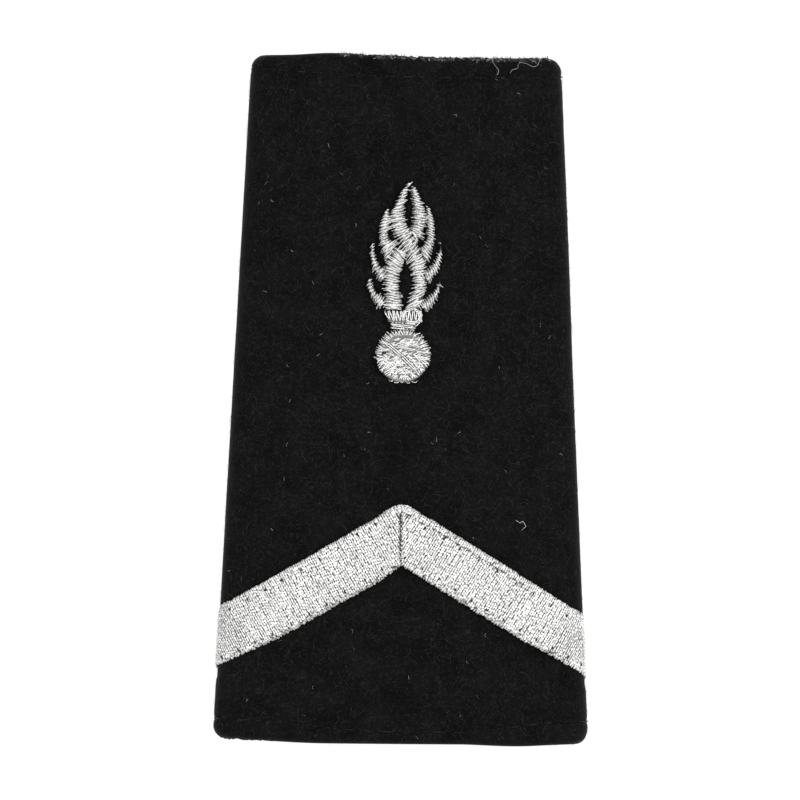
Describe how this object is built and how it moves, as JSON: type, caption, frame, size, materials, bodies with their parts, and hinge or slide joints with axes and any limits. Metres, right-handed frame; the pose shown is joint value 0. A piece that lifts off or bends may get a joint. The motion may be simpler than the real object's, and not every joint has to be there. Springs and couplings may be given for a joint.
{
  "type": "slip-on shoulder board",
  "caption": "Tapered black felt sleeve that slides over a shoulder strap, with a silver embroidered chevron and a flaming grenade on its front.",
  "frame": {"origin": "under the middle of the sleeve, on the surface that its back lies on", "axes": "+X to the right seen from above the front, +Y towards the narrow mouth at the collar, +Z out of the embroidered front"},
  "size_m": [0.06, 0.11, 0.0104],
  "materials": {
    "felt": "matt wool felt",
    "silver_thread": "bright silver-white thread"
  },
  "bodies": {
    "root": {"sleeve": "felt", "chevron_left": "silver_thread", "chevron_right": "silver_thread", "grenade_ball": "silver_thread", "grenade_collar": "silver_thread", "flame_over": "silver_thread", "flame_under_upper": "silver_thread", "flame_under_lower": "silver_thread", "flamelet_left_upper": "silver_thread", "flamelet_left_middle": "silver_thread", "flamelet_left_lower": "silver_thread", "flamelet_right_upper": "silver_thread", "flamelet_right_middle": "silver_thread", "flamelet_right_lower": "silver_thread"}
  },
  "joints": []
}
